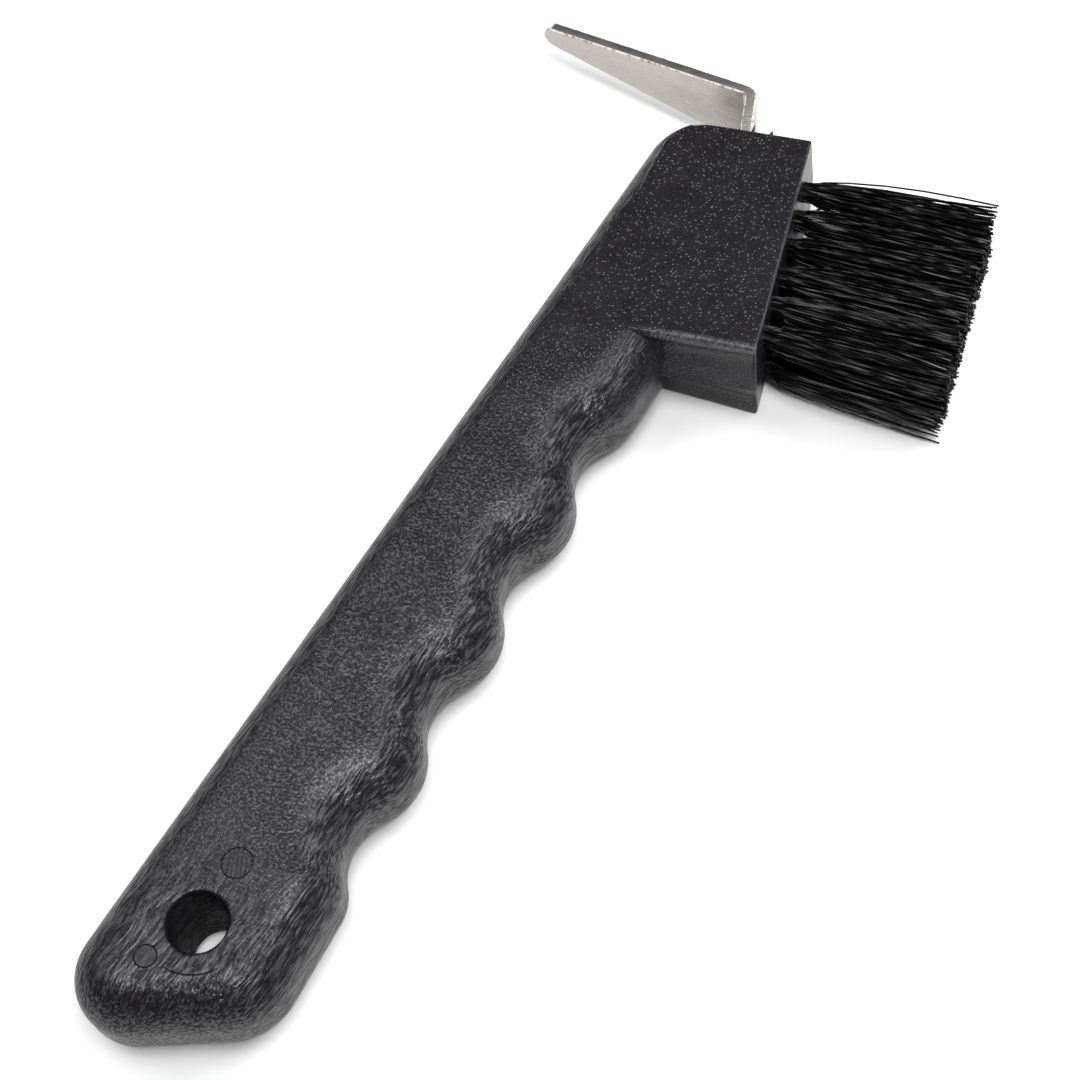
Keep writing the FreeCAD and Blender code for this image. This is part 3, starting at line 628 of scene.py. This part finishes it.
# The three bumps lie on each other: the grain, the grooves of the marks, and slow waves.
grain_bump = plastic.bump(height, GRAIN_DEPTH)
mark_bump = plastic.bump(marks, MARK_DEPTH, grain_bump, invert=True)
wave_bump = plastic.bump(plastic.noise(here, WAVE_SCALE, 1.0), WAVE_DEPTH, mark_bump)
plastic.set(plastic.sockets["Normal"], wave_bump)
plastic.set(plastic.sockets["Roughness"], plastic.ramp(patches, 0.3, 0.7, 0.34, 0.3))


def edge_highlight_band(start, way, length, width):
    """A painted highlight: one near a straight front edge, fading out over its width and at its start."""
    normal = way * 1j
    along = plastic.vector("DOT_PRODUCT", here, (way.real, way.imag, 0))
    along = plastic.math("SUBTRACT", along, (start * way.conjugate()).real * MM)
    aside = plastic.vector("DOT_PRODUCT", here, (normal.real, normal.imag, 0))
    aside = plastic.math("SUBTRACT", aside, (start * normal.conjugate()).real * MM)
    down = plastic.math("SUBTRACT", (place, "Z"), face_height(start) * MM - 0.0002)
    squares = plastic.math("MULTIPLY", aside, aside), plastic.math("MULTIPLY", down, down)
    gap = plastic.math("SQRT", plastic.math("ADD", *squares))
    past_start = plastic.ramp(along, 0.0, 0.006)
    run = plastic.math("MULTIPLY", past_start, plastic.math("LESS_THAN", along, length * MM))
    return plastic.math("MULTIPLY", run, plastic.ramp(gap, width * MM, width * 0.3 * MM))


# The skin is a little paler on the specks and the strokes of the grain, partly as a painted glint,
# and paler still along two front edges of the block, as a painted highlight. In the bore the paler
# tone is left out, as painted shade.
# The specks and strokes are grain; their paler tone is partly a painted glint.
stroke_tone = plastic.math("MULTIPLY", plastic.ramp(stroke, 0.5, 0.72), stroke_share)
fine_tone = plastic.math("MULTIPLY", plastic.ramp(fine, 0.5, 0.72), fine_share)
off_stroke = plastic.math("SUBTRACT", 1.0, stroke_share)
speck_tone = plastic.math("MULTIPLY", plastic.math("MULTIPLY_ADD", fine_tone, 0.3, specks), off_stroke)
tone = plastic.math("MAXIMUM", speck_tone, plastic.math("MULTIPLY", stroke_tone, 0.4))
# Painted shade in the bore: the paler tone is left out there, and its shine is turned low below.
from_hole = plastic.vector("LENGTH", plastic.vector("MULTIPLY", here, (1, 1, 0)))
bore_shade_mask = plastic.ramp(from_hole, 0.00455, 0.0042)
open_tone = plastic.math("MULTIPLY", tone, plastic.math("SUBTRACT", 1.0, bore_shade_mask))
# Painted highlights: streaked along the block's lower front edge, and thin along the brush face's front edge.
lower_edge_highlight = edge_highlight_band(BLOCK_ROOT + UP * 0.2, OUT, BLOCK_REACH, 1.3)
lower_edge_highlight = plastic.math("MULTIPLY", lower_edge_highlight, plastic.ramp(stroke, 0.3, 0.65, 0.15, 0.8))
brush_edge_highlight = edge_highlight_band(FACE_BOTTOM, UP, BRUSH_FACE, 0.35)
painted_edge_highlight = plastic.math("MAXIMUM", lower_edge_highlight, plastic.math("MULTIPLY", brush_edge_highlight, 0.6))
skin = plastic.mix(open_tone, BLACK, GRAIN_GLINT_SKIN)
plastic.set(plastic.sockets["Base Color"], plastic.mix(painted_edge_highlight, skin, EDGE_HIGHLIGHT_SKIN))

# Shine: broken up by the specks and the strokes, even inside the pin marks, and turned low in the bore as
# painted shade.
plain_shine = plastic.ramp(fine, 0.36, 0.66, 0.26, 0.64)
head_shine = plastic.math("MULTIPLY_ADD", specks, 0.3, 0.46)
stroke_shine = plastic.ramp(stroke, 0.4, 0.62, 0.08, 0.72)
shine = plastic.blend(stroke_share, plastic.blend(on_head, plain_shine, head_shine), stroke_shine)
shine = plastic.blend(plastic.math("MULTIPLY", in_pins, 0.6), shine, 0.42)
unmarked = plastic.math("MULTIPLY_ADD", marks, -0.7, 1.0)
bore_shade = plastic.math("MULTIPLY", plastic.ramp(bore_shade_mask, 0.0, 1.0, 1.0, 0.06), unmarked)
plastic.set(plastic.sockets["Specular IOR Level"], plastic.math("MULTIPLY", shine, bore_shade))

# Flash squeezed out where the blade leaves the head: plan, height, length and radius of each sliver.
BLADE_FOOT = FACE_TOP - OUT * 10.7
FLASH = [
    (BLADE_FOOT - OUT * 1.15, 6.0, 2.9, 0.34),
    (BLADE_FOOT + OUT * 1.0, 6.4, 3.2, 0.32),
    (BLADE_FOOT + OUT * 4.0, 6.8, 2.0, 0.5),
]


def flash_grids():
    """Closed cones that start inside the head and taper to a tip, along the block's top normal."""
    turn = np.linspace(0, 2 * math.pi, 7, endpoint=False)[:, None]
    for foot, height, length, radius in FLASH:
        climb = np.array([-0.8, -0.8, 0.5 * length, length])[None, :]
        width = np.array([0.0, 1.0, 0.8, 0.0])[None, :] * radius
        plan = foot + UP * (0.2 + climb) + OUT * width * np.cos(turn)
        yield stations(plan, height + width * np.sin(turn))


flash_mesh = closed_mesh("flash", list(flash_grids()))
handle = joined_piece("handle_moulding", [grip_mesh, drilled_mesh, flash_mesh], plastic.material)
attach(handle, "root")
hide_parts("handle")

# ---------------------------------------------------------------------------------------------
# Pick blade. A steel strip blanked on a press, bent once over a small radius, and plated. Its arm
# narrows to a round tip, and its tang is moulded into the head.
# ---------------------------------------------------------------------------------------------
STRIP_HALF = 0.9
BLADE_HALF_WIDTH = 6.35
SHANK = turned(112.0)
ARM = turned(177.7)
BEND = BLADE_FOOT + SHANK * 9.9
ARM_LENGTH = 39.75
BEND_RADIUS = 0.8
TIP_RADIUS = 2.0
TANG_DEPTH = 22.0
STRIP_CORNER = 0.3


def blade_grid():
    """A rectangle with rounded corners carried along the tang, the bend's arc and the arm.

    The half width is full up to the bend, falls in a straight line along the arm, and closes as a
    circle at the tip. The first and last sections are shrunk to a point, which closes the ends.
    """
    arc_radius = BEND_RADIUS + STRIP_HALF
    half_turn = np.angle(ARM / SHANK) / 2
    tangent = arc_radius * math.tan(half_turn)
    bend_start = BEND - SHANK * tangent
    center = bend_start + SHANK * 1j * arc_radius
    bend_turn = np.exp(1j * np.linspace(0, 2 * half_turn, 15))
    tang = BLADE_FOOT - SHANK * TANG_DEPTH
    run = np.linspace(0, 1, 20)[:-1]
    shank = tang + (bend_start - tang) * run
    bend = center - SHANK * 1j * arc_radius * bend_turn
    arm_start = bend[-1]
    arm_end = BEND + ARM * ARM_LENGTH
    reach = abs(arm_end - arm_start)
    tip_turn = np.radians(np.linspace(0, 84, 18))
    taper = reach - TIP_RADIUS
    distance = np.concatenate([np.linspace(0, taper, 60)[1:-1], taper + TIP_RADIUS * np.sin(tip_turn),
                               [reach - 1e-4]])
    arm = arm_start + ARM * distance
    width = np.interp(distance, [0, taper], [BLADE_HALF_WIDTH, TIP_RADIUS])
    tip_part = np.clip((distance - taper) / TIP_RADIUS, 0, 1)
    width = np.where(tip_part > 0, TIP_RADIUS * np.sqrt(1 - tip_part ** 2), width)
    path = np.concatenate([[tang], shank, bend, arm, [arm[-1]]])
    ways = np.concatenate([np.full(shank.size + 1, SHANK), SHANK * bend_turn, np.full(arm.size + 1, ARM)])
    widths = np.concatenate([np.full(shank.size + bend.size + 1, BLADE_HALF_WIDTH), width, [0.0]])
    scale = np.ones(path.size)
    scale[[0, -1]] = 0
    thick_sign = np.repeat([1, -1, -1, 1], 6)[:, None]
    wide_sign = np.repeat([1, 1, -1, -1], 6)[:, None]
    turn = np.concatenate([np.linspace(0, math.pi / 2, 6) + n * math.pi / 2 for n in range(4)])[:, None]
    thick = (thick_sign * (STRIP_HALF - STRIP_CORNER) + STRIP_CORNER * np.cos(turn)) * scale
    wide = wide_sign * np.maximum(widths - STRIP_CORNER, 0)
    wide = (wide + STRIP_CORNER * np.sin(turn) * np.minimum(1, widths / STRIP_CORNER)) * scale
    plan = path + ways * -1j * thick
    return stations(plan, wide)


blade_mesh = closed_mesh("blade", [blade_grid()])

# The plating is satin, smudged near the bend. The cut sides are darker and rougher, with a jagged
# burr along their edges, painted bright as a highlight. Fine scratches run along the strip.
PLATE = 0.47, 0.44, 0.405
SMUDGE = 0.3, 0.275, 0.245
DARK_CUT = 0.26, 0.245, 0.225
PALE_CUT = 0.5, 0.48, 0.45
BURR_HIGHLIGHT = 0.9, 0.88, 0.85
SMUDGE_SCALE = 150.0
JAG_SCALE = 1300.0
SCRATCH_SCALE = 300.0, 300.0, 2600.0
STEEL_DEPTH = 0.00003

steel = Finish("satin_plated_steel", (0.5, 0.475, 0.44), 0.3, 1.0)
steel_here, steel_place, steel_facing = steel.coordinates()
steel_side = steel.math("ABSOLUTE", (steel_facing, "Z"))
smudges = steel.noise(steel_here, SMUDGE_SCALE, 4.0)
towards_bend = steel.ramp((steel_place, "X"), -0.03, 0.0, 0.15, 1.0)
smudge_share = steel.math("MULTIPLY", steel.ramp(smudges, 0.4, 0.75), towards_bend)
jagged = steel.noise(steel_here, JAG_SCALE, 3.0)
near_shank = steel.ramp((steel_place, "X"), -0.012, -0.001)
mottle = steel.math("MULTIPLY_ADD", jagged, 1.2, -0.3)
pale_share = steel.math("MULTIPLY", near_shank, steel.math("MULTIPLY_ADD", mottle, 0.8, 0.5))
face_tone = steel.mix(smudge_share, PLATE, SMUDGE)
cut_tone = steel.mix(pale_share, DARK_CUT, PALE_CUT)
cut_side = steel.ramp(steel_side, 0.9, 0.99)
corner = steel.math("MULTIPLY", steel.ramp(steel_side, 0.08, 0.3), steel.ramp(steel_side, 0.985, 0.93))
# The burr's brightness is a painted highlight: a pale colour, and less metal.
burr_highlight = steel.math("MULTIPLY", corner, steel.ramp(jagged, 0.36, 0.5))
steel.set(steel.sockets["Base Color"], steel.mix(burr_highlight, steel.mix(cut_side, face_tone, cut_tone), BURR_HIGHLIGHT))
steel.set(steel.sockets["Metallic"], steel.ramp(burr_highlight, 0.0, 1.0, 1.0, 0.25))
scratches = steel.noise(steel_here, SCRATCH_SCALE, 3.0)
rough_cut = steel.math("MULTIPLY", cut_side, 0.2)
steel_rough = steel.math("ADD", steel.ramp(scratches, 0.3, 0.7, 0.24, 0.36), rough_cut)
steel.set(steel.sockets["Roughness"], steel_rough)
jag_share = steel.math("MULTIPLY_ADD", steel.math("MAXIMUM", corner, cut_side), 3.0, 0.25)
steel_height = steel.math("MULTIPLY_ADD", jagged, jag_share, scratches)
steel.set(steel.sockets["Normal"], steel.bump(steel_height, STEEL_DEPTH))

blade = joined_piece("pick_blade_steel", [blade_mesh], steel.material)
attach(blade, "root")
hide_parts("pick_blade")

# ---------------------------------------------------------------------------------------------
# Bristle tufts. Each is a bundle of stiff black nylon filaments, folded over its anchor at the
# bottom of a drilled hole. They leave the face square to it, lean with their row, and spread.
# ---------------------------------------------------------------------------------------------
FILAMENT_RADIUS = 0.15
FILAMENTS = 96
SPIRAL_RADIUS = 1.52
GOLDEN_TURN = 2.39996
TUFT_LENGTHS = 30.0, 28.6
LENGTH_SPREAD = 0.8
LEANS = -3.6, -6.6
TUFT_LIP = 0.8
ROOT_DEPTH = 4.0
TIP_INSET = 0.35
STRAY_SHARE = 0.14
STRAY_DRIFT = 2.3
DRIFT = 0.45
BOW = 0.4
LOWEST_END = -4.6
HIGHEST_END = 2.7
HALF_BRUSH = 7.9
STREAK_SCALE = 45.0, 1700.0, 1700.0
STREAK_TURN = -0.21


def tuft_grid(mouth, height, share, random):
    """Rings of points on every filament of one tuft.

    A filament starts on a sunflower spiral in the hole. Its middle line goes straight out, turns
    to the row's lean, and moves away from the tuft's axis as a power of the distance, with a sine
    for its bow. A few stray further than the rest.
    """
    lean = LEANS[0] + (LEANS[1] - LEANS[0]) * share ** 2
    length = TUFT_LENGTHS[0] + (TUFT_LENGTHS[1] - TUFT_LENGTHS[0]) * share
    way = turned(FACE_LEAN + lean)
    number = np.arange(FILAMENTS)
    radius = SPIRAL_RADIUS * np.sqrt((number + 0.5) / FILAMENTS)
    turn = number * GOLDEN_TURN
    start_up = radius * np.cos(turn)
    start_high = radius * np.sin(turn)
    stray = random.random(FILAMENTS) < STRAY_SHARE
    drift = random.normal(0, 1, (2, FILAMENTS)) * np.where(stray, STRAY_DRIFT, DRIFT)
    end_up = np.clip(start_up * 1.8 + drift[0], LOWEST_END, HIGHEST_END)
    end_high = np.clip(height + start_high * 1.45 + drift[1], -HALF_BRUSH, HALF_BRUSH) - height
    bow = random.normal(0, BOW, (2, FILAMENTS))
    reach = length - TUFT_LIP - TIP_INSET - np.abs(random.normal(0, LENGTH_SPREAD, FILAMENTS))
    run = np.array([0, 0.07, 0.2, 0.4, 0.6, 0.8, 1.0])[None, :]
    spread = run ** (0.5 - 0.2 * min(1.0, 5 * share))
    bend = np.sin(math.pi * run)
    up = start_up[:, None] + (end_up - start_up)[:, None] * spread + bow[0][:, None] * bend
    high = start_high[:, None] + (end_high - start_high)[:, None] * spread + bow[1][:, None] * bend
    plan = mouth + OUT * TUFT_LIP + way * (reach[:, None] * run) + way * 1j * up
    root = mouth - OUT * ROOT_DEPTH + UP * start_up[:, None]
    plan = np.concatenate([root, plan], axis=1)
    high = height + np.concatenate([start_high[:, None], high], axis=1)
    rings = np.array([0.0] + [1.0] * (plan.shape[1] - 1) + [0.0]) * FILAMENT_RADIUS
    plan = np.concatenate([plan, plan[:, -1:] + way * 0.05], axis=1)
    high = np.concatenate([high, high[:, -1:]], axis=1)
    side = np.linspace(0, 2 * math.pi, 5, endpoint=False)[None, :, None]
    ring_plan = plan[:, None, :] + UP * rings[None, None, :] * np.cos(side)
    ring_high = high[:, None, :] + rings[None, None, :] * np.sin(side)
    return stations(ring_plan, ring_high)


def filament_mesh(name, grid):
    """A mesh of many closed tubes: one ring grid for each filament."""
    count, around, along = grid.shape[:3]
    faces = ring_faces(around, along)[None] + (np.arange(count) * around * along)[:, None, None]
    mesh = bpy.data.meshes.new(name)
    mesh.from_pydata(grid.reshape(-1, 3).tolist(), [], faces.reshape(-1, 4).tolist())
    shell = bmesh.new()
    shell.from_mesh(mesh)
    bmesh.ops.remove_doubles(shell, verts=shell.verts, dist=1e-7)
    shell.to_mesh(mesh)
    shell.free()
    return mesh


# Each filament's gloss comes and goes along it, in streaks that follow the lean of the tufts.
nylon = Finish("black_nylon", (0.0025, 0.0025, 0.0028), 0.3)
nylon_here = nylon.node("ShaderNodeTexCoord"), "Object"
streaks = nylon.noise(nylon_here, STREAK_SCALE, 1.0, turn=STREAK_TURN)
nylon.set(nylon.sockets["Specular IOR Level"], nylon.ramp(streaks, 0.45, 0.75, 0.03, 0.8))
for hole, mouth, height, share in tuft_places():
    random = np.random.default_rng(int(hole[1]) * 10 + int(hole[4]))
    mesh = filament_mesh(f"bristles_{hole}", tuft_grid(mouth, height, share, random))
    tuft = joined_piece(f"bristles_{hole}", [mesh], nylon.material, crease=60)
    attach(tuft, "root")
    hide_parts(f"tuft_{hole}")

# ---------------------------------------------------------------------------------------------
# Anchors. Small strips of brass that hold the folded filaments down. They are out of sight at the
# bottom of the holes, so they keep their CAD shape.
# ---------------------------------------------------------------------------------------------
brass = Finish("anchor_brass", (0.7, 0.5, 0.22), 0.35, 1.0)
for hole, *_ in tuft_places():
    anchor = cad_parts[f"anchor_{hole}"]
    anchor.data.materials.clear()
    anchor.data.materials.append(brass.material)

# ---------------------------------------------------------------------------------------------
# Studio. A pale floor under the pick, soft boxes, and the camera above and to the right of it.
# ---------------------------------------------------------------------------------------------
FLOOR_HALF = 3.0
FLOOR_CORNERS = (-1, -1), (1, -1), (1, 1), (-1, 1)
HANDLE_MIDDLE = Vector((0.0, 0.075, 0.0))
CAMERA_PLACE = 0.10613, -0.04240, 0.25770
CAMERA_RIGHT = 0.8498, 0.5182, -0.0971
CAMERA_BACK = 0.3329, -0.3847, 0.8609

floor_mesh = bpy.data.meshes.new("floor")
floor_points = [(x * FLOOR_HALF, y * FLOOR_HALF, cad_box[0].z) for x, y in FLOOR_CORNERS]
floor_mesh.from_pydata(floor_points, [], [(0, 1, 2, 3)])
floor_paint = Finish("floor_paint", (0.93, 0.93, 0.93), 0.7)
floor_mesh.materials.append(floor_paint.material)
floor = bpy.data.objects.new("floor", floor_mesh)
bpy.context.scene.collection.objects.link(floor)


def soft_box(name, direction, distance, size, power):
    """A square area light that looks at the middle of the handle."""
    light = bpy.data.lights.new(name, "AREA")
    light.size = size
    light.energy = power
    lamp = bpy.data.objects.new(name, light)
    lamp.location = HANDLE_MIDDLE + Vector(direction).normalized() * distance
    lamp.rotation_euler = (lamp.location - HANDLE_MIDDLE).to_track_quat("Z", "Y").to_euler()
    bpy.context.scene.collection.objects.link(lamp)


soft_box("soft_box_camera", (0.37, -0.24, 0.90), 0.81, 0.14, 1.9)
soft_box("soft_box_above", (0.2, -0.1, 0.97), 0.8, 0.32, 3.7)
soft_box("soft_box_left", (-0.55, 0.0, 0.83), 0.8, 0.5, 2.0)
soft_box("soft_box_back", (0.36, 0.6, 0.71), 0.8, 0.45, 3.4)
world = bpy.data.worlds.new("studio")
world.use_nodes = True
world.node_tree.nodes["Background"].inputs["Color"].default_value = (1, 1, 1, 1)
world.node_tree.nodes["Background"].inputs["Strength"].default_value = 0.1
bpy.context.scene.world = world
bpy.context.scene.view_settings.view_transform = "Standard"

camera_data = bpy.data.cameras.new("camera")
camera_data.lens = 69.33
camera_data.sensor_width = 36.0
camera_data.clip_start = 0.01
camera = bpy.data.objects.new("camera", camera_data)
back = Vector(CAMERA_BACK).normalized()
up = back.cross(Vector(CAMERA_RIGHT).normalized()).normalized()
camera_stand = Matrix((up.cross(back), up, back)).transposed().to_4x4()
camera_stand.translation = CAMERA_PLACE
camera.matrix_world = camera_stand
bpy.context.scene.collection.objects.link(camera)
bpy.context.scene.camera = camera
